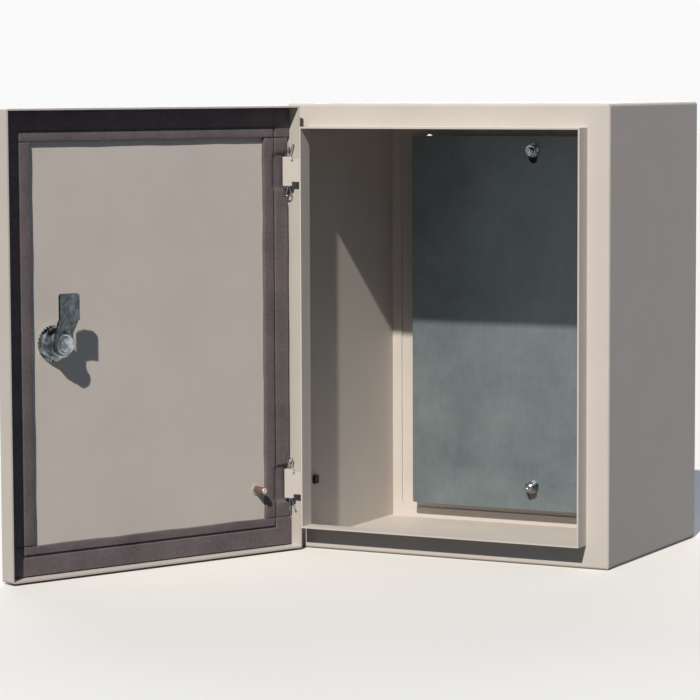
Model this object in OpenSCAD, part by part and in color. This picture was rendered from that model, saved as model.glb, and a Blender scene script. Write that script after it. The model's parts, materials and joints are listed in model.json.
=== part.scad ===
// Wall enclosure of folded sheet steel with a hinged door, a mounting plate and a cam lock.
// X runs to the right, Y into the wall and Z up. The origin is the centre of the four
// wall fixing holes, on the rear face. The door stands open, as it does in use.

/* [Body] */
// Width of the body
body_w = 310; // [250:10:400]
// Height of the body
body_h = 400; // [340:10:600]
// Depth of the body from the rear face to the front flange
body_d = 210; // [150:10:300]
// Thickness of the body and door sheet
sheet_t = 1.5; // [1.2:0.1:1.8]
// Outer radius of the folds
fold_r = 2.5; // [2:0.1:3.2]
// Radius of the four long corners of the body
corner_r = 3; // [2.5:0.5:5]

/* [Front frame] */
// Width of the front flange, up to the sealing lip
flange_w = 20.5; // [19.5:0.5:23]
// How far the sealing lip stands forward of the front flange
lip_h = 17.5; // [16:0.5:18]
// Width of the relief slot in the flange corner on the hinge side
relief_w = 1.6; // [1.2:0.2:2.4]
// Length of the relief slot in the flange corner on the hinge side
relief_len = 7; // [4:0.5:8]

/* [Rear] */
// Width of the turned-in flange that the rear panel is welded to
rear_flange_w = 11; // [9:0.5:14]
// Corner radius of the opening inside the rear flange
rear_opening_r = 7; // [4:1:10]
// Sideways distance from a wall fixing hole to the side of the body
wall_hole_side = 40; // [35:1:60]
// Distance from a wall fixing hole to the top or bottom of the body
wall_hole_end = 35; // [30:1:60]
// Radius of the wall fixing holes
wall_hole_r = 4.25; // [3.25:0.25:5.25]

/* [Mounting plate] */
// Gap at each side between the mounting plate and the outside of the body
plate_side_gap = 30; // [25:1:40]
// Gap above the plate to the top of the body
plate_top_gap = 32; // [26:1:40]
// Gap below the plate to the bottom of the body
plate_bottom_gap = 18; // [14:1:26]
// Thickness of the mounting plate
plate_t = 2; // [1.5:0.5:3]
// Distance from the rear face to the back of the mounting plate
plate_stand_off = 16; // [10:1:25]
// Corner radius of the mounting plate
plate_corner_r = 2; // [1:0.5:5]
// Distance from the top of the body to the upper plate stud
upper_stud_drop = 45; // [42:1:50]
// Distance from the bottom of the body to the lower plate stud
lower_stud_rise = 40; // [36:1:48]
// Width of the slots that hang the plate on its studs
slot_w = 9; // [7.5:0.5:10]
// Length of the slots, end to end
slot_len = 17; // [14:1:22]

/* [Plate fixings] */
// Radius of the threaded studs
stud_r = 3; // [2.5:0.25:3]
// Length of stud in front of the mounting plate
stud_reach = 12; // [9:0.5:16]
// Radius of the plain washers
washer_r = 6.25; // [5.5:0.25:8]
// Thickness of the plain washers
washer_t = 1.6; // [1:0.2:2]
// Size of the hexagon nuts across the flats
nut_af = 10; // [8:0.5:11]
// Height of the hexagon nuts
nut_h = 5; // [4:0.5:6]
// Radius of the sleeves that hold the plate off the rear panel
spacer_r = 5; // [4.5:0.25:7]

/* [Door] */
// How far the door stops short of the outside of the body, all round
door_inset = 2; // [1:0.25:2.5]
// Depth of the door pan from its face to its rim
door_depth = 18; // [17:0.25:20]
// Gap between the rim of the closed door and the front flange
door_gap = 3.5; // [3.5:0.25:5]
// Angle that the door stands open in the rest pose
door_angle = 114; // [60:1:118]

/* [Hinges] */
// Sideways distance from the outside of the body to the hinge axis
axis_side = 7.5; // [7.5:0.1:8]
// Distance from the front flange forward to the hinge axis
axis_forward = 13.3; // [13.3:0.1:13.6]
// Distance from the middle of a hinge to the end of the body
hinge_end = 60; // [50:1:90]
// Height of a hinge leaf
leaf_h = 25.8; // [22:0.2:40]
// Thickness of a hinge leaf
leaf_t = 1.5; // [1.2:0.1:1.5]
// Width of the tall part of a hinge leaf, to the right of its axis
leaf_head_w = 5.5; // [4.5:0.5:6]
// Radius of the split pin
pin_r = 1.45; // [1.2:0.05:1.5]
// Length of the spread legs of the split pin
pin_leg = 12.5; // [8:0.5:16]
// Angle between the two spread legs
pin_spread = 22; // [10:1:26]
// Height of the notch in the door rim below each hinge
notch_h = 7; // [5:0.5:9]

/* [Gasket] */
// Width of the foam gasket
gasket_w = 25; // [24:0.5:25]
// Thickness of the foam gasket
gasket_t = 4; // [3.5:0.25:4.5]
// Gap between the side runs of the gasket and the door flange
gasket_side_gap = 3.5; // [1:0.5:4]
// Width of the groove that the sealing lip has pressed into the foam
imprint_w = 3.2; // [3:0.1:3.6]

/* [Lock] */
// Distance from the free edge of the door to the lock axis
lock_inset = 53.5; // [51:0.5:60]
// Radius of the threaded barrel of the lock
barrel_r = 11; // [9:0.5:11]
// Length of the barrel inside the door
barrel_in = 15.5; // [13:0.5:16]
// Radius of the outer collar of the lock
collar_r = 15; // [13:0.5:18]
// Thickness of the outer collar of the lock
collar_t = 4; // [3:0.5:6]
// Radius of the turning spindle
spindle_r = 7; // [6:0.25:7.5]
// Size of the square end of the spindle
square_w = 8; // [7:0.5:9]
// Size of the barrel nut across the flats
barrel_nut_af = 27; // [25:0.5:28]
// Height of the barrel nut
barrel_nut_h = 5; // [4:0.5:6]
// Radius of the toothed washer under the barrel nut
tooth_washer_r = 15.5; // [14.75:0.25:17]
// Number of teeth on the toothed washer
tooth_count = 30; // [16:2:40]

/* [Cam] */
// Length of the cam from the lock axis to its tip
cam_len = 43.5; // [42:0.5:46]
// Width of the cam blade
cam_w = 19.5; // [18:0.5:22]
// Thickness of the cam
cam_t = 2.5; // [2:0.25:3]
// Radius of the round end of the cam on the spindle
cam_hub_r = 9.5; // [8.5:0.25:10]
// Clearance between the turned cam and the back of the front flange
cam_clearance = 1.3; // [0.5:0.1:2]
// Angle at which each half of the blade rises from its middle line, to lead in on the flange
cam_rise = 8; // [4:1:12]
// Radius of the two corners at the tip of the blade
cam_corner_r = 2.5; // [1:0.5:4]

/* [Earth stud and side plug] */
// Distance from the hinge edge of the door to the earth stud
earth_side = 39.5; // [36:0.5:60]
// Distance from the bottom of the body to the earth stud
earth_rise = 56.5; // [45:0.5:90]
// Length of the earth stud
earth_len = 14; // [10:0.5:16]
// Distance from the front flange to the middle of the side plug
plug_depth = 45; // [40:1:70]
// Distance from the bottom of the body to the middle of the side plug
plug_rise = 56; // [40:1:120]
// Size of the square side plug inside the body
plug_w = 8; // [6:0.5:12]

/* [Hidden] */
$fn = 48;

// Clearances
turn_gap = 0.05;      // running clearance of a pin in its hole, on the radius
seat_gap = 0.3;       // clearance between pieces that sit side by side
overlap = 0.01;       // how far joined shapes of one piece run into each other

// Places worked out from the body
front_y = -body_d;                       // plane of the front flange
half_w = body_w / 2;
half_h = body_h / 2;
lip_half_w = half_w - flange_w;          // outer face of the sealing lip
lip_half_h = half_h - flange_w;
lip_front_y = front_y - lip_h;
mitre = flange_w + sheet_t + 4;          // reach of the mitred sides of the frame
relief_gap = 0.5;                        // from the lip to the relief slot, in height
relief_x = -lip_half_w - 6.5;
relief_z = lip_half_h + relief_gap + relief_len / 2;
plug_rim = 2;                            // how far the plug's head covers the sheet
plug_head_t = 1.2;
plug_in = 2.5;                           // how far the plug stands into the body

// Places worked out for the mounting plate
plate_w = body_w - 2 * plate_side_gap;
plate_h = body_h - plate_top_gap - plate_bottom_gap;
plate_mid_z = (plate_bottom_gap - plate_top_gap) / 2;
plate_back_y = -plate_stand_off;
plate_front_y = plate_back_y - plate_t;
stud_z = [half_h - upper_stud_drop, lower_stud_rise - half_h];
slot_drop = (slot_len - slot_w) / 2 - 0.5;    // slot centre below the stud, which hangs near its top
washer_face_y = plate_front_y - washer_t;

// Places worked out for the closed door
door_w = body_w - 2 * door_inset;
door_h = body_h - 2 * door_inset;
door_rim_y = front_y - door_gap;
door_face_y = door_rim_y - door_depth;
panel_y = door_face_y + sheet_t;         // inner face of the door panel
door_in_w = door_w - 2 * sheet_t;
door_in_h = door_h - 2 * sheet_t;

// Places worked out for the hinges
axis_x = axis_side - half_w;
axis_y = front_y - axis_forward;
hinge_z = [half_h - hinge_end, hinge_end - half_h];
knuckle_r = pin_r + 1.15;                            // round eye on the door
web_back = knuckle_r + seat_gap;                     // leaf web, in front of the axis
web_front = web_back + leaf_t;
leaf_reach = flange_w - axis_side;                   // from the axis to the sealing lip
leaf_edge = 3.5;                                     // leaf to the left of the axis
ear_r = 3.5;                                         // round back of the leaf's ears
arm_low = leaf_h / 2 - 3.7;                          // lower edge of the arm, below the middle
arm_high = leaf_h / 2 - 1.8;                         // upper edge of the arm, above the middle
relief_hole_r = 1.2;                                 // bend relief in the leaf
relief_hole_x = leaf_head_w + 0.6;
relief_hole_z = arm_high - 1.6;
leaf_round_r = 2;
leaf_weld = 1.1;                                     // size of the weld between leaf and lip
flange_in = axis_side - door_inset - sheet_t;        // from the axis to the door flange
pin_hole_r = pin_r + turn_gap;
eye_wire_r = 0.65;                                   // wire of the split pin's eye
eye_r = 2.5;                                         // bend radius of the eye
eye_drop = 6.5;                                      // from the end of the shank to the eye's bend
shank_over = 0.8;                                    // shank beyond the leaf at each end
notch_floor = 6;                                     // door flange left below the notch

// Places worked out for the gasket
gasket_front_y = panel_y + gasket_t;
imprint_y = lip_front_y - seat_gap;                  // bottom of the pressed groove
gasket_fold_gap = fold_r - sheet_t + turn_gap;       // clear of the round inside of the fold
gasket_z = door_in_h / 2 - gasket_fold_gap - gasket_w / 2;    // middle line of the top run
gasket_x = door_in_w / 2 - gasket_side_gap - gasket_w / 2;
gasket_long = door_in_w - 2 * gasket_fold_gap;       // length of the top and bottom runs
gasket_short = 2 * gasket_z - gasket_w - 2 * seat_gap;

// Places worked out for the lock
lock_x = door_w / 2 - lock_inset;
seal_t = 1;
barrel_hole_r = barrel_r + seat_gap;
tooth_washer_t = 1.2;
barrel_end_y = panel_y + barrel_in;
collar_face_y = door_face_y - seal_t - collar_t;
key_recess_r = 4.8;
key_recess_depth = 7;
key_pin_r = 1.6;
key_bit_w = 1.6;
key_bit_x = key_pin_r + 1.2;                         // inner end of each guide
spindle_sunk = 0.4;                                  // spindle behind the face of the collar
collar_rim = 1.2;                                    // chamfer of the outer collar
tooth_depth = 1.2;
tooth_gap_w = 1.3;
cam_base_y = barrel_end_y + seat_gap;
blade_y = front_y + sheet_t + cam_clearance;         // face of the blade that meets the flange
cam_bend_z = 9;                                      // where the crank starts above the axis
cam_blade_z = 20.8;                                  // where the straight blade starts
cam_neck_w = 17;
cam_hole_w = square_w + 2 * turn_gap;
cam_screw_r = 2.95;
cam_washer_r = 8.5;
cam_washer_t = 1;
cam_washer_y = cam_base_y + cam_t + turn_gap;
cam_screw_y = cam_washer_y + cam_washer_t;
cam_screw_in = 6;                                    // how far the screw reaches into the spindle
screw_af = 13;
screw_head_h = 3.7;

// Places worked out for the earth stud and the plug
earth_x = earth_side - door_w / 2;
earth_z = earth_rise - half_h;
plug_y = front_y + plug_depth;
plug_z = plug_rise - half_h;

paint = "#D2C7BD";
zinc = "#A9B0B2";
galvanised = "#8B9492";
foam = "#4A4648";
black_plastic = "#1C1A1B";

// ---- Shared shapes ----

// Rectangle with round corners, centred
module round_rect(w, h, r) {
    square([w - 2 * r, h], center = true);
    square([w, h - 2 * r], center = true);
    for (x = [-1, 1], y = [-1, 1])
        translate([x * (w / 2 - r), y * (h / 2 - r)]) circle(r);
}

// Upright slab that stands from depth y0 to depth y1, with the outline given in X and Z
module upright(y0, y1) {
    translate([0, y1, 0]) rotate([90, 0, 0]) linear_extrude(y1 - y0) children();
}

// Round bar along Y from depth y0 to depth y1
module bar(r, y0, y1) {
    translate([0, y1, 0]) rotate([90, 0, 0]) cylinder(r = r, h = y1 - y0);
}

// Quarter of a bent sheet about the point (0, 0), between its inner and outer radius
module bend(inner_r, outer_r) {
    intersection() {
        difference() {
            circle(outer_r);
            circle(inner_r);
        }
        square(outer_r);
    }
}

// One side of a mitred frame: the profile gives the distance in from the side as X and the
// distance forward of the plane y0 as Y
module frame_side(span, reach, y0) {
    deep = body_d;
    intersection() {
        translate([reach / 2, y0, -span / 2]) rotate([0, 0, 180]) linear_extrude(span) children();
        upright(y0 - deep, y0 + deep)
            polygon([
                [reach / 2, -span / 2], [reach / 2, span / 2],
                [reach / 2 - mitre, span / 2 - mitre], [reach / 2 - mitre, mitre - span / 2]
            ]);
    }
}

// Four mitred sides
module mitred_frame(w, h, y0) {
    for (side = [0, 1]) mirror([side, 0, 0]) frame_side(h, w, y0) children();
    for (turn = [-90, 90]) rotate([0, turn, 0]) frame_side(w, h, y0) children();
}

// Threaded bar along +Z with ring grooves, a chamfered end and a small dimple in the end
module threaded(r, len) {
    pitch = 1;
    root = r - 0.45;
    turns = floor((len - 1.5) / pitch);
    rings = [for (i = [0:turns - 1], p = [[root, 0.25], [r, 0.5], [r, 0.62], [root, 0.87]])
        [p[0], i * pitch + p[1]]];
    end = [[root, len - 0.4], [root - 0.4, len], [0.9, len], [0, len - 0.5]];
    rotate_extrude() polygon(concat([[0, 0], [root, 0]], rings, end));
}

// Hexagon along +Z, chamfered at its far end
module hexagon(af, h) {
    corner = af / 2 / cos(30);
    chamfer = (corner - af / 2) * tan(30);
    intersection() {
        rotate([0, 0, 30]) cylinder(r = corner, h = h, $fn = 6);
        rotate_extrude() polygon([
            [0, -1], [corner + 1, -1], [corner + 1, h - chamfer - tan(30)], [af / 2, h], [0, h]
        ]);
    }
}

// Hexagon nut along +Z
module hex_nut(af, h, hole_r) {
    difference() {
        hexagon(af, h);
        translate([0, 0, -1]) cylinder(r = hole_r, h = h + 2);
    }
}

// Places the closed door's pieces where the open door holds them
module on_door() {
    translate([axis_x, axis_y, 0]) rotate([0, 0, -door_angle]) translate([-axis_x, -axis_y, 0])
        children();
}

module at_lock() {
    on_door() translate([lock_x, 0, 0]) children();
}

// ---- Body ----

// Folded edge of the body: side wall, front flange and sealing lip
module body_profile() {
    inner = fold_r - sheet_t;
    translate([0, -fold_r - 1]) square([sheet_t, 1 + overlap]);
    translate([fold_r, -fold_r]) rotate([0, 0, 90]) bend(inner, fold_r);
    translate([fold_r - overlap, -sheet_t]) square([flange_w - fold_r - inner + 2 * overlap, sheet_t]);
    translate([flange_w - inner, inner]) rotate([0, 0, -90]) bend(inner, fold_r);
    translate([flange_w, inner - overlap]) square([sheet_t, lip_h - inner + overlap]);
}

module body_shell() {
    walls_end = front_y + fold_r + overlap;
    color(paint) difference() {
        union() {
            // four walls, folded round the corners
            upright(walls_end - overlap, -sheet_t) difference() {
                round_rect(body_w, body_h, corner_r);
                round_rect(body_w - 2 * sheet_t, body_h - 2 * sheet_t, corner_r - sheet_t);
            }
            // front flange and sealing lip
            intersection() {
                mitred_frame(body_w, body_h, front_y) body_profile();
                upright(lip_front_y - 1, front_y + fold_r + 1)
                    round_rect(body_w, body_h, corner_r);
            }
            // flange for the rear panel
            upright(-2 * sheet_t, -sheet_t) difference() {
                round_rect(body_w, body_h, corner_r);
                round_rect(body_w - 2 * rear_flange_w, body_h - 2 * rear_flange_w, rear_opening_r);
            }
        }
        // relief slots at the flange corners beside the hinges
        for (side = [-1, 1])
            upright(front_y - 1, front_y + sheet_t + 1)
                translate([relief_x, side * relief_z])
                    round_rect(relief_w, relief_len, relief_w / 2 - overlap);
        // square hole for the side plug
        translate([-half_w, plug_y, plug_z]) cube([4 * sheet_t, plug_w, plug_w], center = true);
    }
}

module rear_panel() {
    edge = 1;    // the panel stops short of the body outline, where its weld runs
    hole_x = half_w - wall_hole_side;
    hole_z = half_h - wall_hole_end;
    color(paint) difference() {
        upright(-sheet_t, 0) round_rect(body_w - 2 * edge, body_h - 2 * edge, corner_r);
        for (x = [-hole_x, hole_x], z = [-hole_z, hole_z])
            translate([x, 0, z]) bar(wall_hole_r, -sheet_t - 1, 1);
    }
}

// Snap-in plug of the square hole in the hinge-side wall
module side_plug() {
    head_w = plug_w + 2 * plug_rim;
    neck_w = plug_w - 2 * seat_gap;
    neck_len = sheet_t + plug_in;
    color(black_plastic) translate([-half_w, plug_y, plug_z]) {
        translate([-plug_head_t / 2, 0, 0]) cube([plug_head_t, head_w, head_w], center = true);
        translate([neck_len / 2 - overlap, 0, 0]) cube([neck_len, neck_w, neck_w], center = true);
    }
}

// ---- Mounting plate and its fixings ----

module plate_studs() {
    flange_r = stud_r + 1.5;
    flange_t = 1;
    stud_end = plate_front_y - stud_reach;
    color(zinc) for (z = stud_z) translate([0, 0, z]) {
        bar(flange_r, -sheet_t - flange_t, -sheet_t);
        translate([0, -sheet_t - flange_t + overlap, 0]) rotate([90, 0, 0])
            threaded(stud_r, -stud_end - sheet_t - flange_t + overlap);
    }
}

// Sleeves between the rear panel and the plate
module plate_spacers() {
    foot = 1 + seat_gap;    // clear of the stud's weld flange
    color(zinc) for (z = stud_z) translate([0, 0, z]) difference() {
        bar(spacer_r + 1, plate_back_y, -sheet_t);
        bar(stud_r + turn_gap, plate_back_y - 1, 0);
        bar(stud_r + 1.5 + seat_gap, -sheet_t - foot, 0);
    }
}

module mounting_plate() {
    color(galvanised) difference() {
        translate([0, 0, plate_mid_z]) upright(plate_front_y, plate_back_y)
            round_rect(plate_w, plate_h, plate_corner_r);
        for (z = stud_z) translate([0, 0, z - slot_drop])
            upright(plate_front_y - 1, plate_back_y + 1) {
                square([slot_w, slot_len - slot_w], center = true);
                for (end = [-1, 1]) translate([0, end * (slot_len - slot_w) / 2]) circle(slot_w / 2);
            }
    }
}

module plate_washers() {
    color(zinc) for (z = stud_z) translate([0, 0, z]) difference() {
        bar(washer_r, washer_face_y, plate_front_y);
        bar(stud_r + seat_gap, washer_face_y - 1, plate_front_y + 1);
    }
}

module plate_nuts() {
    color(zinc) for (z = stud_z) translate([0, washer_face_y, z]) rotate([90, 0, 0])
        hex_nut(nut_af, nut_h, stud_r + turn_gap);
}

// ---- Hinges ----

// Outline of a leaf seen from the front, with its round left corners
module leaf_outline() {
    tall = leaf_h / 2;
    round_x = leaf_round_r - leaf_edge;
    difference() {
        union() {
            translate([round_x, -tall]) square([leaf_head_w - round_x, leaf_h]);
            translate([-leaf_edge, leaf_round_r - tall]) square([leaf_edge, leaf_h - 2 * leaf_round_r]);
            for (end = [-1, 1]) translate([round_x, end * (tall - leaf_round_r)]) circle(leaf_round_r);
            translate([0, -arm_low]) square([leaf_reach, arm_low + arm_high]);
        }
        translate([relief_hole_x, relief_hole_z]) circle(relief_hole_r);
    }
}

// Leaf welded to the sealing lip: a web with two ears that hold the split pin
module hinge_leaf() {
    difference() {
        union() {
            upright(-web_front, -web_back) leaf_outline();
            for (z = [-leaf_h / 2, leaf_h / 2 - leaf_t]) translate([0, 0, z]) linear_extrude(leaf_t) {
                circle(ear_r);
                translate([-ear_r, -web_front + overlap]) square([2 * ear_r, web_front]);
            }
            // weld between the arm and the lip
            translate([leaf_reach, -web_back + overlap, -arm_low]) linear_extrude(arm_low + arm_high)
                polygon(leaf_weld * [[0, -1], [-1, 0], [-0.6, 0.7], [0, 1]]);
        }
        translate([0, 0, -leaf_h]) cylinder(r = pin_hole_r, h = 2 * leaf_h);
    }
}

// Eye on the door between the leaf's ears, welded to the inside of the door flange
module hinge_knuckle() {
    half = leaf_h / 2 - leaf_t - seat_gap;
    tab = 2.4;
    translate([0, 0, -half]) linear_extrude(2 * half) difference() {
        union() {
            circle(knuckle_r);
            translate([-flange_in, -tab / 2]) square([flange_in, tab]);
        }
        circle(pin_hole_r);
    }
}

// Split pin: shank through the ears, eye below and two spread legs above
module split_pin() {
    shank = leaf_h / 2 + shank_over;
    leg_r = pin_r * 0.52;
    leg_x = pin_r - leg_r;
    translate([0, 0, -shank]) cylinder(r = pin_r, h = 2 * shank);
    // eye of bent wire: two sides spread from the shank to a round end
    root_x = pin_r - eye_wire_r;
    side_len = norm([eye_r - root_x, eye_drop]);
    side_tilt = atan((eye_r - root_x) / eye_drop);
    translate([0, 0, -shank - eye_drop]) {
        rotate([90, 180, 0]) rotate_extrude(angle = 180) translate([eye_r, 0]) circle(eye_wire_r);
        for (side = [-1, 1]) translate([side * eye_r, 0, 0]) {
            sphere(eye_wire_r);
            rotate([0, -side * side_tilt, 0]) cylinder(r = eye_wire_r, h = side_len + overlap);
        }
    }
    // one leg stands straight, the other is bent aside
    for (leg = [[-leg_x, 0], [leg_x, pin_spread]])
        translate([leg[0], 0, shank - 0.4]) rotate([0, leg[1], 0]) {
            cylinder(r = leg_r, h = pin_leg - leg_r);
            translate([0, 0, pin_leg - leg_r]) sphere(leg_r);
        }
}

module at_hinge(i) {
    translate([axis_x, axis_y, hinge_z[i]]) children();
}

module hinge_leaf_upper() {
    color(paint) at_hinge(0) hinge_leaf();
}

module hinge_leaf_lower() {
    color(paint) at_hinge(1) hinge_leaf();
}

module hinge_pin_upper() {
    color(zinc) at_hinge(0) split_pin();
}

// The lower pin goes in from above, so its eye is above and its legs are below
module hinge_pin_lower() {
    color(zinc) at_hinge(1) mirror([0, 0, 1]) split_pin();
}

module hinge_knuckle_upper() {
    color(paint) on_door() at_hinge(0) hinge_knuckle();
}

module hinge_knuckle_lower() {
    color(paint) on_door() at_hinge(1) hinge_knuckle();
}

// ---- Door ----

// Folded edge of the door: return flange and the start of the panel
module door_profile() {
    inner = fold_r - sheet_t;
    square([sheet_t, door_depth - fold_r + overlap]);
    translate([fold_r, door_depth - fold_r]) rotate([0, 0, 90]) bend(inner, fold_r);
    translate([fold_r - overlap, door_depth - sheet_t]) square([mitre - fold_r, sheet_t]);
}

module door_panel() {
    plain = mitre - 1;
    color(paint) on_door() difference() {
        union() {
            intersection() {
                mitred_frame(door_w, door_h, door_rim_y) door_profile();
                upright(door_face_y - 1, door_rim_y + 1) round_rect(door_w, door_h, sheet_t);
            }
            upright(door_face_y, panel_y) square([door_w - 2 * plain, door_h - 2 * plain], center = true);
        }
        // notches in the rim below the hinge arms
        for (z = hinge_z)
            translate([-door_w / 2 - 1, panel_y + notch_floor, z - arm_low - notch_h])
                cube([sheet_t + 2, door_depth, notch_h]);
        translate([lock_x, 0, 0]) bar(barrel_hole_r, door_face_y - 1, panel_y + 1);
    }
}

// Space that the sealing lip, the hinge leaves and the pins' eyes press out of the foam
module imprint() {
    grow = (imprint_w - sheet_t) / 2;
    outer = [lip_half_w + grow, lip_half_h + grow];
    inner = [lip_half_w - sheet_t - grow, lip_half_h - sheet_t - grow];
    swing_r = norm([leaf_edge, web_front]) + seat_gap;
    eye_swing_r = eye_r + eye_wire_r + seat_gap;
    eye_reach = shank_over + eye_drop + eye_r + eye_wire_r + 1;
    upright(imprint_y, gasket_front_y + 1) difference() {
        square(2 * outer, center = true);
        square(2 * inner, center = true);
    }
    for (i = [0, 1]) at_hinge(i) translate([0, 0, -leaf_h / 2 - 1]) linear_extrude(leaf_h + 2) {
        circle(swing_r);
        translate([0, -web_front - seat_gap]) square([leaf_reach, web_front]);
    }
    // the pins' eyes swing past the foam below the upper leaf and above the lower one
    for (i = [0, 1]) at_hinge(i) mirror([0, 0, i]) translate([0, 0, -leaf_h / 2 - eye_reach])
        cylinder(r = eye_swing_r, h = eye_reach);
}

module gasket_run(w, h) {
    difference() {
        upright(panel_y, gasket_front_y) square([w, h], center = true);
        children();
    }
}

module gasket_top() {
    color(foam) on_door() translate([0, 0, gasket_z]) gasket_run(gasket_long, gasket_w)
        translate([0, 0, -gasket_z]) imprint();
}

module gasket_bottom() {
    color(foam) on_door() translate([0, 0, -gasket_z]) gasket_run(gasket_long, gasket_w)
        translate([0, 0, gasket_z]) imprint();
}

module gasket_hinge_side() {
    color(foam) on_door() translate([-gasket_x, 0, 0]) gasket_run(gasket_w, gasket_short)
        translate([gasket_x, 0, 0]) imprint();
}

module gasket_lock_side() {
    color(foam) on_door() translate([gasket_x, 0, 0]) gasket_run(gasket_w, gasket_short)
        translate([-gasket_x, 0, 0]) imprint();
}

// Earthing stud welded to the inside of the door
module door_earth_stud() {
    collar_h = 1;
    color(zinc) on_door() translate([earth_x, panel_y, earth_z]) rotate([-90, 0, 0]) {
        cylinder(r = stud_r + 1.4, h = collar_h);
        translate([0, 0, collar_h - overlap]) threaded(stud_r, earth_len - collar_h);
    }
}

// ---- Lock ----

module lock_seal() {
    color(black_plastic) at_lock() difference() {
        bar(collar_r - 0.5, door_face_y - seal_t, door_face_y);
        bar(barrel_r + seat_gap, door_face_y - seal_t - 1, door_face_y + 1);
    }
}

// Housing with its outer collar and threaded barrel
module lock_housing() {
    chamfer_y = collar_face_y + collar_rim;
    color(zinc) at_lock() difference() {
        union() {
            bar(barrel_r, door_face_y - seal_t - overlap, barrel_end_y);
            bar(collar_r, chamfer_y, door_face_y - seal_t);
            translate([0, chamfer_y, 0]) rotate([90, 0, 0])
                cylinder(r1 = collar_r, r2 = collar_r - collar_rim, h = collar_rim);
        }
        bar(spindle_r + turn_gap, collar_face_y - 1, barrel_end_y + 1);
    }
}

// Toothed washer under the barrel nut
module lock_tooth_washer() {
    color(zinc) at_lock() difference() {
        bar(tooth_washer_r, panel_y, panel_y + tooth_washer_t);
        bar(barrel_r + seat_gap, panel_y - 1, panel_y + tooth_washer_t + 1);
        for (i = [0:tooth_count - 1]) rotate([0, i * 360 / tooth_count, 0])
            translate([tooth_washer_r, panel_y + tooth_washer_t / 2, 0])
                cube([2 * tooth_depth, tooth_washer_t + 1, tooth_gap_w], center = true);
    }
}

module lock_nut() {
    color(zinc) at_lock() translate([0, panel_y + tooth_washer_t, 0]) rotate([-90, 0, 0])
        hex_nut(barrel_nut_af, barrel_nut_h, barrel_r + turn_gap);
}

// Spindle with its key recess outside and its square end inside
module lock_spindle() {
    recess_floor_y = collar_face_y + key_recess_depth;
    guide_y = collar_face_y + 1;
    square_end = cam_base_y + cam_t;
    color(zinc) at_lock() difference() {
        union() {
            difference() {
                bar(spindle_r, collar_face_y + spindle_sunk, cam_base_y - overlap);
                bar(key_recess_r, collar_face_y - 1, recess_floor_y);
            }
            // pin and two guides for the double-bit key
            bar(key_pin_r, guide_y, recess_floor_y + 1);
            for (side = [0, 1]) mirror([side, 0, 0])
                translate([key_bit_x, guide_y, -key_bit_w / 2])
                    cube([key_recess_r + 0.5 - key_bit_x, key_recess_depth, key_bit_w]);
            translate([-square_w / 2, barrel_end_y, -square_w / 2])
                cube([square_w, square_end - barrel_end_y, square_w]);
        }
        bar(cam_screw_r + turn_gap, cam_base_y - cam_screw_in - 2, square_end + 1);
    }
}

// Front outline of the cam: round end, tapered neck and blade with round corners at its tip
module cam_outline() {
    half = cam_w / 2;
    neck = cam_neck_w / 2;
    circle(cam_hub_r);
    polygon([
        [-neck, 0], [neck, 0], [neck, cam_bend_z], [half, cam_blade_z], [half, cam_len - cam_corner_r],
        [-half, cam_len - cam_corner_r], [-half, cam_blade_z], [-neck, cam_bend_z]
    ]);
    translate([cam_corner_r - half, cam_len - cam_corner_r - overlap])
        square([cam_w - 2 * cam_corner_r, cam_corner_r + overlap]);
    for (side = [-1, 1]) translate([side * (half - cam_corner_r), cam_len - cam_corner_r])
        circle(cam_corner_r);
}

// Sheet of the cam seen from its side: flat round end, crank, and the blade before it is cut out
module cam_sheet() {
    half = cam_w;
    rise = half * tan(cam_rise);
    difference() {
        upright(cam_base_y, cam_base_y + cam_t)
            translate([-half, -cam_len]) square([2 * half, cam_len + cam_bend_z + overlap]);
        translate([-cam_hole_w / 2, cam_base_y - 1, -cam_hole_w / 2])
            cube([cam_hole_w, cam_t + 2, cam_hole_w]);
    }
    translate([-half, 0, 0]) rotate([90, 0, 90]) linear_extrude(2 * half)
        polygon([
            [cam_base_y, cam_bend_z], [cam_base_y + cam_t, cam_bend_z],
            [blade_y + cam_t, cam_blade_z], [blade_y, cam_blade_z]
        ]);
    // blade in two halves that rise from the middle line
    translate([0, 0, cam_blade_z - overlap]) linear_extrude(cam_len)
        polygon([
            [-half, blade_y + rise], [0, blade_y], [half, blade_y + rise],
            [half, blade_y + cam_t + rise], [0, blade_y + cam_t], [-half, blade_y + cam_t + rise]
        ]);
}

// Stamped cam: the outline cut out of the bent sheet
module lock_cam() {
    color(zinc) at_lock() intersection() {
        upright(panel_y, front_y + body_d / 2) cam_outline();
        cam_sheet();
    }
}

module cam_washer() {
    color(zinc) at_lock() difference() {
        bar(cam_washer_r, cam_washer_y, cam_screw_y);
        bar(cam_screw_r + seat_gap, cam_washer_y - 1, cam_screw_y + 1);
    }
}

module cam_screw() {
    color(zinc) at_lock() {
        translate([0, cam_screw_y, 0]) rotate([-90, 0, 0]) hexagon(screw_af, screw_head_h);
        bar(cam_screw_r, cam_base_y - cam_screw_in, cam_screw_y + 1);
    }
}

body_shell();
rear_panel();
side_plug();
plate_studs();
plate_spacers();
mounting_plate();
plate_washers();
plate_nuts();
hinge_leaf_upper();
hinge_leaf_lower();
hinge_pin_upper();
hinge_pin_lower();
door_panel();
hinge_knuckle_upper();
hinge_knuckle_lower();
gasket_top();
gasket_bottom();
gasket_hinge_side();
gasket_lock_side();
lock_seal();
lock_housing();
lock_tooth_washer();
lock_nut();
lock_spindle();
lock_cam();
cam_washer();
cam_screw();
door_earth_stud();
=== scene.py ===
# Wall enclosure of folded sheet steel, door open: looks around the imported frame.
import json
from math import pi, radians, sin

import bpy
from mathutils import Matrix, Vector


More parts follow.
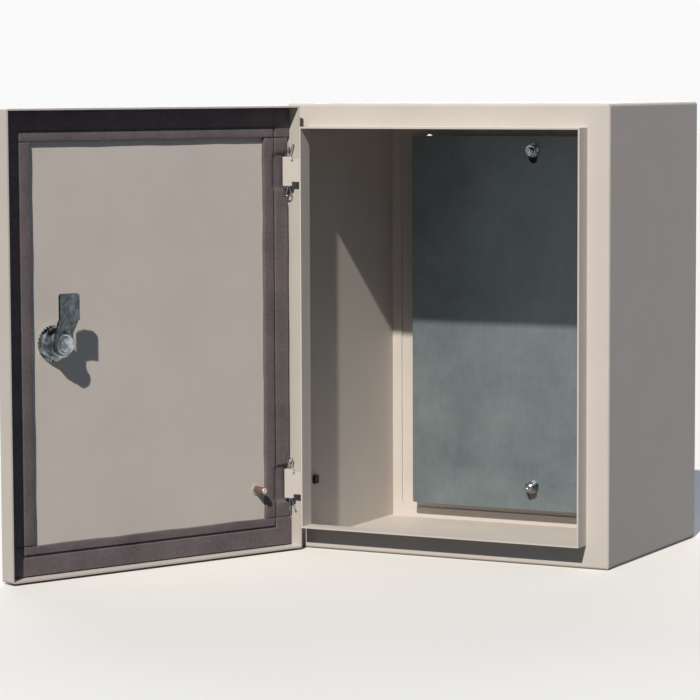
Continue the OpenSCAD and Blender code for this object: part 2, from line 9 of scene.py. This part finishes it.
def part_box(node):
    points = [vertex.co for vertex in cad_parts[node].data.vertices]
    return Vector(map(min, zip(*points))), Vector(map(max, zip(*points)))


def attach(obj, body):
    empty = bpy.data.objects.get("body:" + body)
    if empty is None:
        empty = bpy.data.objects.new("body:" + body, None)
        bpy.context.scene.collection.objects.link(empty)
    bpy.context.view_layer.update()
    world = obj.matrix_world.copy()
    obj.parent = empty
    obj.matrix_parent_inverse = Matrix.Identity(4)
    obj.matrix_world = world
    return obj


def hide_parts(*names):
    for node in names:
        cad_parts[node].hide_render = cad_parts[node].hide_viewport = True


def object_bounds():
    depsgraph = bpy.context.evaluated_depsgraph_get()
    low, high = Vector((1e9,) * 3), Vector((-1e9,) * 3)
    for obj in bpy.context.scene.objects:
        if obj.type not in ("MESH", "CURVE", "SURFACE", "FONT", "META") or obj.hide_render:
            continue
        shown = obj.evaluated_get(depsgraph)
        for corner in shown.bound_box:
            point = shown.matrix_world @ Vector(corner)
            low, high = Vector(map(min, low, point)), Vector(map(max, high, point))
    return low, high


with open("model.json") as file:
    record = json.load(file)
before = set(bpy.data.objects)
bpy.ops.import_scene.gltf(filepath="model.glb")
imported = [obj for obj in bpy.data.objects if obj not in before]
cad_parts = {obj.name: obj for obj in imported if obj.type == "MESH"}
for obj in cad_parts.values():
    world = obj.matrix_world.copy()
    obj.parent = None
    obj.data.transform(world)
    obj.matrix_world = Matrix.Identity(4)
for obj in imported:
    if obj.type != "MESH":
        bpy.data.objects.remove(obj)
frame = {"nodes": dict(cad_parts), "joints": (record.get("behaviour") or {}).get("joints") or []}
cad_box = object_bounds()

# ---- Body shell, rear panel and hinge leaves ----
# One folded steel box with a welded rear panel and two welded hinge leaves. After welding the
# whole box is coated with polyester powder and baked, so every fold and weld has the same skin.


def linear(code):
    """The linear colour of an sRGB hex value."""
    channels = [int(code[i:i + 2], 16) / 255 for i in (1, 3, 5)]
    return [c / 12.92 if c <= 0.04045 else ((c + 0.055) / 1.055) ** 2.4 for c in channels] + [1]


def add(tree, kind, settings=None, stops=(), **inputs):
    """Adds a node. Settings are its properties, stops a ramp's colours from low to high, and
    inputs are values or the outputs they come from, with i0 for the first socket and so on."""
    node = tree.nodes.new(kind)
    for name, value in (settings or {}).items():
        setattr(node, name, value)
    for i, (position, code) in enumerate(stops):
        element = node.color_ramp.elements[i] if i < 2 else node.color_ramp.elements.new(position)
        element.position = position
        element.color = linear(code)
    for name, value in inputs.items():
        key = int(name[1:]) if name[0] == "i" and name[1:].isdigit() else name.replace("_", " ")
        socket = node.inputs[key]
        if isinstance(value, bpy.types.NodeSocket):
            tree.links.new(value, socket)
        else:
            socket.default_value = value
    return node


def new_material(name, **shader):
    """A material with one Principled shader, and its Object coordinates."""
    material = bpy.data.materials.new(name)
    material.use_nodes = True
    tree = material.node_tree
    bsdf = tree.nodes["Principled BSDF"]
    for key, value in shader.items():
        bsdf.inputs[key.replace("_", " ")].default_value = value
    place = add(tree, "ShaderNodeTexCoord").outputs["Object"]
    return material, tree, bsdf, place


def dress(material, *nodes):
    """Gives CAD nodes their material."""
    for name in nodes:
        slots = frame["nodes"][name].data.materials
        slots.clear()
        slots.append(material)


# Polyester powder coat: warm light grey, half gloss, with a fine orange peel about 2 mm apart.
# The peel is drawn at 3 mm, because 2 mm would not show. Handling leaves faint dull patches.
PEEL = 1000 / 3
PATCH = 1000 / 70
powder, tree, bsdf, place = new_material(
    "powder_coated_steel", Roughness=0.5, Specular_IOR_Level=0.12)
peel = add(tree, "ShaderNodeTexNoise", Vector=place, Scale=PEEL, Detail=2.0, Roughness=0.5)
patch = add(tree, "ShaderNodeTexNoise", Vector=place, Scale=PATCH, Detail=4.0, Roughness=0.6)
tint = add(tree, "ShaderNodeValToRGB", stops=((0.3, "#C9C2BC"), (0.7, "#CFC8C3")),
           Fac=patch.outputs["Fac"])
tree.links.new(tint.outputs["Color"], bsdf.inputs["Base Color"])
dull = add(tree, "ShaderNodeMapRange", Value=patch.outputs["Fac"], To_Min=0.44, To_Max=0.58)
tree.links.new(dull.outputs["Result"], bsdf.inputs["Roughness"])
bump = add(tree, "ShaderNodeBump", Height=peel.outputs["Fac"], Strength=0.12, Distance=0.0002)
tree.links.new(bump.outputs["Normal"], bsdf.inputs["Normal"])
dress(powder, "body_shell", "rear_panel", "hinge_leaf_upper", "hinge_leaf_lower")

# ---- Side plug ----
# Moulded polyamide plug snapped into a square hole of the hinge-side wall. It is plain black
# with the slightly grainy skin of its mould.
plug_black, tree, bsdf, place = new_material(
    "black_polyamide", Base_Color=linear("#1C1A1B"), Roughness=0.5)
grain = add(tree, "ShaderNodeTexNoise", Vector=place, Scale=1000 / 1.5, Detail=2.0)
bump = add(tree, "ShaderNodeBump", Height=grain.outputs["Fac"], Strength=0.2, Distance=0.0001)
tree.links.new(bump.outputs["Normal"], bsdf.inputs["Normal"])
dress(plug_black, "side_plug")

# ---- Mounting plate ----
# Bare galvanised sheet. Rolling leaves fine streaks along its height, and the zinc has pale and
# dark clouds with a faint crystal pattern.
STREAK = 1000 / 2
CLOUD = 1000 / 60
SPANGLE = 1000 / 5
galvanised, tree, bsdf, place = new_material(
    "galvanised_steel_sheet", Metallic=0.3, Roughness=0.46, Specular_IOR_Level=0.3)
stretch = add(tree, "ShaderNodeMapping", Vector=place, Scale=(1.0, 1.0, 0.06))
streak = add(tree, "ShaderNodeTexNoise", Vector=stretch.outputs["Vector"], Scale=STREAK, Detail=3.0)
cloud = add(tree, "ShaderNodeTexNoise", Vector=place, Scale=CLOUD, Detail=5.0, Roughness=0.65)
spangle = add(tree, "ShaderNodeTexVoronoi", Vector=place, Scale=SPANGLE)
mixed = add(tree, "ShaderNodeMath", {"operation": "MULTIPLY_ADD"},
            i0=streak.outputs["Fac"], i1=0.3, i2=cloud.outputs["Fac"])
mixed = add(tree, "ShaderNodeMath", {"operation": "MULTIPLY_ADD"},
            i0=spangle.outputs["Color"], i1=0.08, i2=mixed.outputs["Value"])
tint = add(tree, "ShaderNodeValToRGB", stops=((0.45, "#68747A"), (0.9, "#7E8A8E")),
           Fac=mixed.outputs["Value"])
tree.links.new(tint.outputs["Color"], bsdf.inputs["Base Color"])
rough = add(tree, "ShaderNodeMapRange", Value=mixed.outputs["Value"], From_Min=0.4, From_Max=1.1,
            To_Min=0.4, To_Max=0.56)
tree.links.new(rough.outputs["Result"], bsdf.inputs["Roughness"])
bump = add(tree, "ShaderNodeBump", Height=streak.outputs["Fac"], Strength=0.15, Distance=0.0001)
tree.links.new(bump.outputs["Normal"], bsdf.inputs["Normal"])
dress(galvanised, "mounting_plate")

# ---- Studs, sleeves, washers, nuts and split pins ----
# Turned and cold-headed steel, electroplated with zinc and passivated. The coat is bright, with
# a cool cast. Its base colour is mottled light and dark, partly painted highlight standing in for
# glints and partly real wear, and the coat is a little duller where fingers and tools have been.
zinc, tree, bsdf, place = new_material("bright_zinc_plating", Metallic=1.0, Roughness=0.25)
wear_and_glints = add(tree, "ShaderNodeTexNoise", Vector=place, Scale=1000 / 8, Detail=3.0, Roughness=0.6)
# painted highlight: the light stop of this mottled base colour stands in for glints on the zinc
tint = add(tree, "ShaderNodeValToRGB", stops=((0.4, "#6C767B"), (0.62, "#B6BDC0")),
           Fac=wear_and_glints.outputs["Fac"])
tree.links.new(tint.outputs["Color"], bsdf.inputs["Base Color"])
rough = add(tree, "ShaderNodeMapRange", Value=wear_and_glints.outputs["Fac"], To_Min=0.12, To_Max=0.3)
tree.links.new(rough.outputs["Result"], bsdf.inputs["Roughness"])
bump = add(tree, "ShaderNodeBump", Height=wear_and_glints.outputs["Fac"], Strength=0.05, Distance=0.0002)
tree.links.new(bump.outputs["Normal"], bsdf.inputs["Normal"])
dress(zinc, "plate_studs", "plate_spacers", "plate_washers", "plate_nuts",
      "hinge_pin_upper", "hinge_pin_lower")

# ---- Door and its hinge knuckles ----
# A shallow pan folded from one sheet, with two welded knuckles, coated with the same powder.
dress(powder, "door_panel", "hinge_knuckle_upper", "hinge_knuckle_lower")

# ---- Gasket ----
# Four strips of closed-cell foam with an adhesive back, cut to length and laid by hand, so
# their edges waver a little. The sealing lip has pressed a narrow groove all the way round, and
# the hinge leaves and the eyes of the split pins have pressed hollows beside the hinges.
STEP = 0.012              # between the places where a strip's edge may waver
LIP_TO_SIDE = 0.02125     # from the outside of the body to the middle of the sealing lip
GROOVE_W = 0.0024
GROOVE_SPARE = 0.0002     # below the lip when the door is closed
DIP_REACH = 0.0042        # the foam sinks towards the groove over this distance
DIP = 0.0003
WAVER_IN = 0.0004
WAVER_OUT = 0.0004
FOAM_ROUND = 0.0004
LEAF_SWING_R = 0.00592    # of the leaf's corner and of the pin's eye about the hinge axis
EYE_SWING_R = 0.0036
LEAF_FRONT = 0.0048       # from the axis to the leaf's front
LEAF_REACH = 0.013        # from the axis to the lip
HOLLOW_FADE = 0.004
HOLLOW_STEP = 0.0015
SEAM = 0.0004             # the side strips were cut this much short at each end
SPARE = 0.001

hinge = next(j for j in frame["joints"] if j["name"] == "door_hinge")
hinge_at = Vector(hinge["pos_m"])
door_open = radians(-hinge["range_deg"][0])
to_closed = (Matrix.Translation(hinge_at) @ Matrix.Rotation(door_open, 4, "Z")
             @ Matrix.Translation(-hinge_at))
shell_low, shell_high = (Vector(corner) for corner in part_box("body_shell"))
lip_x = shell_high.x - LIP_TO_SIDE
lip_z = shell_high.z - LIP_TO_SIDE
groove_floor = shell_low.y - GROOVE_SPARE
panel_y = min((to_closed @ v.co).y for v in frame["nodes"]["gasket_top"].data.vertices)


def block(name, low, high):
    """A block between two corners, alone selected."""
    bpy.ops.object.select_all(action="DESELECT")
    bpy.ops.mesh.primitive_cube_add(size=1, location=(low + high) / 2)
    made = bpy.context.object
    made.name = name
    made.scale = high - low
    bpy.ops.object.transform_apply(location=True, rotation=True, scale=True)
    return made


def press(piece, tool):
    """Takes the tool's shape out of the piece."""
    bpy.ops.object.select_all(action="DESELECT")
    bpy.context.view_layer.objects.active = piece
    piece.select_set(True)
    cut = piece.modifiers.new("cut", "BOOLEAN")
    cut.operation = "DIFFERENCE"
    cut.solver = "EXACT"
    cut.object = tool
    bpy.ops.object.modifier_apply(modifier=cut.name)


def waver(along, turn):
    """A slow wave along a strip, between -1 and 1."""
    return (sin(along * 2 * pi / 0.083 + turn) + 0.6 * sin(along * 2 * pi / 0.037 + 2.3 * turn)) / 1.6


def fade(distance):
    """From 1 at or within a hollow's edge to 0 beyond its fade, with a soft shoulder."""
    part = min(max(1 - distance / HOLLOW_FADE, 0), 1)
    return part * part * (3 - 2 * part)


def hollow(co, hollows):
    """How deep the hollows beside the hinges are at a place on the foam's face."""
    deepest = 0
    across = co.x - hinge_at.x
    for low_z, high_z, swing_r, front, reach in hollows:
        bottom = hinge_at.y - front
        if abs(across) < swing_r:
            bottom = min(bottom, hinge_at.y - (swing_r ** 2 - across ** 2) ** 0.5)
        beyond = max(low_z - co.z, co.z - high_z, 0) + max(across - reach, 0)
        deepest = max(deepest, (co.y - bottom) * fade(beyond))
    return deepest


def foam_strip(name, node, turn, hollows=()):
    """One strip in the space of its CAD solid: cut, dipped, wavered, pressed and rounded."""
    points = [to_closed @ v.co for v in frame["nodes"][node].data.vertices]
    low = Vector([min(p[i] for p in points) for i in range(3)])
    high = Vector([max(p[i] for p in points) for i in range(3)])
    long, short = (0, 2) if high.x - low.x > high.z - low.z else (2, 0)
    if long == 2:
        low.z += SEAM
        high.z -= SEAM
    strip = block(name, low, high)
    bpy.ops.object.mode_set(mode="EDIT")
    normal = Vector([1.0 if i == long else 0.0 for i in range(3)])
    cuts = [(low[long] + STEP * i) * normal for i in range(1, int((high - low)[long] / STEP) + 1)]
    cuts = [(place, normal) for place in cuts]
    for side in (-1, 1):
        for reach in (-DIP_REACH, -DIP_REACH / 2, DIP_REACH / 2, DIP_REACH):
            cuts.append((Vector((side * (lip_x + reach), 0, 0)), Vector((1, 0, 0))))
            cuts.append((Vector((0, 0, side * (lip_z + reach))), Vector((0, 0, 1))))
    for low_z, high_z, swing_r, front, reach in hollows:
        for i in range(int((high_z - low_z + 2 * HOLLOW_FADE) / HOLLOW_STEP) + 2):
            cuts.append((Vector((0, 0, low_z - HOLLOW_FADE + HOLLOW_STEP * i)), Vector((0, 0, 1))))
        for i in range(int((reach + HOLLOW_FADE) / HOLLOW_STEP)):
            cuts.append((Vector((hinge_at.x + HOLLOW_STEP * i, 0, 0)), Vector((1, 0, 0))))
    for place, normal in cuts:
        bpy.ops.mesh.select_all(action="SELECT")
        bpy.ops.mesh.bisect(plane_co=place, plane_no=normal)
    bpy.ops.object.mode_set(mode="OBJECT")
    middle = (lip_x, 0, lip_z)[short]
    for vertex in strip.data.vertices:
        co = vertex.co
        from_lip = max(abs(co.x) - lip_x, abs(co.z) - lip_z)
        if co.y > (low.y + high.y) / 2:
            co.y -= DIP * max(0, 1 - (from_lip / DIP_REACH) ** 2)
            co.y -= hollow(co, hollows)
        if abs(co[short]) < middle - 1.1 * DIP_REACH and (short == 0 or abs(co.x) < lip_x - 0.015):
            co[short] += WAVER_IN * waver(co[long], turn)
        if abs(co[short]) > middle + 1.1 * DIP_REACH and short == 0:
            co[short] += WAVER_OUT * waver(co[long], turn + 2)
    press(strip, lip_tool)
    rounding = strip.modifiers.new("round", "BEVEL")
    rounding.width = FOAM_ROUND
    rounding.segments = 3
    rounding.limit_method = "ANGLE"
    rounding.angle_limit = radians(50)
    bpy.ops.object.modifier_apply(modifier=rounding.name)
    bpy.ops.object.mode_set(mode="EDIT")
    bpy.ops.mesh.select_all(action="SELECT")
    bpy.ops.mesh.remove_doubles(threshold=0.000005)
    bpy.ops.mesh.normals_make_consistent(inside=False)
    bpy.ops.object.mode_set(mode="OBJECT")
    strip.matrix_world = to_closed.inverted()
    bpy.ops.object.transform_apply(location=True, rotation=True, scale=True)
    bpy.ops.object.shade_smooth_by_angle(angle=radians(40))
    strip.data.materials.append(foam)
    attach(strip, "door")
    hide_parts(node)


# Closed-cell rubber foam: dark grey and dull, with burst cells about 1 mm across on its cut skin.
# They are drawn at 1.6 mm, because 1 mm would not show.
foam, tree, bsdf, place = new_material("closed_cell_foam", Roughness=0.95, Specular_IOR_Level=0.1)
cells = add(tree, "ShaderNodeTexNoise", Vector=place, Scale=1000 / 1.6, Detail=3.0, Roughness=0.7)
soil = add(tree, "ShaderNodeTexNoise", Vector=place, Scale=1000 / 30, Detail=3.0, Roughness=0.6)
mixed = add(tree, "ShaderNodeMath", {"operation": "MULTIPLY_ADD"},
            i0=soil.outputs["Fac"], i1=0.6, i2=cells.outputs["Fac"])
tint = add(tree, "ShaderNodeValToRGB", stops=((0.6, "#5E575B"), (1.0, "#776E72")),
           Fac=mixed.outputs["Value"])
tree.links.new(tint.outputs["Color"], bsdf.inputs["Base Color"])
bump = add(tree, "ShaderNodeBump", Height=cells.outputs["Fac"], Strength=0.5, Distance=0.0004)
tree.links.new(bump.outputs["Normal"], bsdf.inputs["Normal"])

groove_half = GROOVE_W / 2
lip_tool = block("lip_tool", Vector((-lip_x - groove_half, groove_floor, -lip_z - groove_half)),
                 Vector((lip_x + groove_half, groove_floor + 0.01, lip_z + groove_half)))
core = block("core", Vector((groove_half - lip_x, groove_floor - SPARE, groove_half - lip_z)),
             Vector((lip_x - groove_half, groove_floor + 0.01 + SPARE, lip_z - groove_half)))
press(lip_tool, core)
hollows = []
for leaf, pin in (("hinge_leaf_upper", "hinge_pin_upper"), ("hinge_leaf_lower", "hinge_pin_lower")):
    leaf_low, leaf_high = (corner[2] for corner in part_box(leaf))
    pin_low, pin_high = (corner[2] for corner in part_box(pin))
    hollows.append((leaf_low - SPARE, leaf_high + SPARE, LEAF_SWING_R, LEAF_FRONT, LEAF_REACH))
    eye = (pin_low - SPARE, leaf_low) if leaf_low > 0 else (leaf_high, pin_high + SPARE)
    hollows.append((*eye, EYE_SWING_R, 0, 0))
foam_strip("foam_strip_top", "gasket_top", 0.4)
foam_strip("foam_strip_bottom", "gasket_bottom", 1.9)
foam_strip("foam_strip_hinge_side", "gasket_hinge_side", 3.1, hollows)
foam_strip("foam_strip_lock_side", "gasket_lock_side", 4.6)
for tool in (lip_tool, core):
    bpy.data.objects.remove(tool)

# ---- Lock, cam and earth stud ----
# Quarter-turn lock: a zinc die-cast housing held by a large nut on a toothed washer, with a
# stamped and plated cam screwed to its square spindle.
dress(zinc, "lock_housing", "lock_tooth_washer", "lock_nut", "lock_spindle", "cam_washer", "cam_screw")
dress(plug_black, "lock_seal")

# Zinc plate over the rolled skin of the cam's strip, coloured darker and bluer than on
# turned parts as a painted reflection of dark surroundings, with faint rolling lines 1 mm apart.
zinc_with_painted_dark_reflection, tree, bsdf, place = new_material("zinc_strip_painted_dark_reflection", Metallic=1.0, Roughness=0.3)
rolled = add(tree, "ShaderNodeTexNoise", Vector=place, Scale=1000 / 4, Detail=5.0, Roughness=0.65)
# painted reflection: these dark blue-grey stops stand in for dark surroundings mirrored in the cam
tint = add(tree, "ShaderNodeValToRGB", stops=((0.35, "#3F494F"), (0.68, "#6F777C")),
           Fac=rolled.outputs["Fac"])
tree.links.new(tint.outputs["Color"], bsdf.inputs["Base Color"])
bump = add(tree, "ShaderNodeBump", Height=rolled.outputs["Fac"], Strength=0.1, Distance=0.0002)
tree.links.new(bump.outputs["Normal"], bsdf.inputs["Normal"])
dress(zinc_with_painted_dark_reflection, "lock_cam")

# Earth stud: copper-flashed steel. Its weld collar took the door's powder, its thread is bare and
# brown, and its end is worn bright.
STUD_COLLAR = 0.0011
STUD_END = 0.0135
copper, tree, bsdf, place = new_material("copper_flashed_steel", Metallic=0.3, Roughness=0.4)
closed = add(tree, "ShaderNodeMapping", Vector=place, Location=to_closed.translation,
             Rotation=(0, 0, door_open))
depth = add(tree, "ShaderNodeSeparateXYZ", Vector=closed.outputs["Vector"])
along = add(tree, "ShaderNodeMapRange", Value=depth.outputs["Y"], From_Min=panel_y,
            From_Max=panel_y + STUD_END)
tint = add(tree, "ShaderNodeValToRGB", Fac=along.outputs["Result"], stops=(
    (STUD_COLLAR / STUD_END, "#CCC4BD"), (1.1 * STUD_COLLAR / STUD_END, "#6E564C"),
    (0.97, "#7D655A"), (1.0, "#D8CFC6")))
tree.links.new(tint.outputs["Color"], bsdf.inputs["Base Color"])
dress(copper, "door_earth_stud")

# ---- Stage ----
# Pale seamless floor and background, one lamp high on the right front, a broad soft one behind on
# the left, and a low cool fill. The floor throws back little light, so undersides stay dark.


def seen(tree):
    """1 for what the camera sees, directly or in a mirror or glass, and 0 for soft light."""
    path = add(tree, "ShaderNodeLightPath").outputs
    direct = add(tree, "ShaderNodeMath", {"operation": "MAXIMUM"},
                 i0=path["Is Camera Ray"], i1=path["Is Glossy Ray"])
    direct = add(tree, "ShaderNodeMath", {"operation": "MAXIMUM"},
                 i0=direct.outputs["Value"], i1=path["Is Transmission Ray"])
    return direct.outputs["Value"]


bpy.ops.object.select_all(action="DESELECT")
bpy.ops.mesh.primitive_plane_add(size=40, location=(0, 0, cad_box[0][2]))
floor = bpy.context.object
floor.name = "floor"
paper, tree, bsdf, place = new_material("matt_paper", Roughness=0.9, Specular_IOR_Level=0.0)
shade = add(tree, "ShaderNodeMix", {"data_type": "RGBA"},
            i0=seen(tree), i6=linear("#6C6B69"), i7=linear("#F2F1EF"))
tree.links.new(shade.outputs[2], bsdf.inputs["Base Color"])
floor.data.materials.append(paper)

for name, energy, colour, angle, source in (
        ("key", 3.76, "#FFF8EC", 1.2, (0.219, -1.0, 0.89)),
        ("back", 1.5, "#FFFFFF", 50, (-0.6, 1.0, 0.5))):
    lamp_data = bpy.data.lights.new(name, "SUN")
    lamp_data.energy = energy
    lamp_data.color = linear(colour)[:3]
    lamp_data.angle = radians(angle)
    lamp = bpy.data.objects.new(name, lamp_data)
    lamp.rotation_euler = Vector(source).to_track_quat("Z", "Y").to_euler()
    bpy.context.scene.collection.objects.link(lamp)

world = bpy.data.worlds.new("studio")
bpy.context.scene.world = world
world.use_nodes = True
tree = world.node_tree
tree.nodes.clear()
fill = add(tree, "ShaderNodeBackground", Color=linear("#ACD0FF"), Strength=0.19)
white = add(tree, "ShaderNodeBackground", Color=linear("#FAFAFA"), Strength=1.0)
both = add(tree, "ShaderNodeMixShader", i0=seen(tree),
           i1=fill.outputs["Background"], i2=white.outputs["Background"])
add(tree, "ShaderNodeOutputWorld", Surface=both.outputs["Shader"])

camera_data = bpy.data.cameras.new("camera")
camera_data.lens = 152.6
camera_data.sensor_width = 36
camera = bpy.data.objects.new("camera", camera_data)
camera.location = (1.1112, -2.5524, 0.2187)
camera.rotation_euler = (radians(84.843), radians(0.228), radians(27.195))
bpy.context.scene.collection.objects.link(camera)
bpy.context.scene.camera = camera
bpy.context.scene.view_settings.view_transform = "Standard"
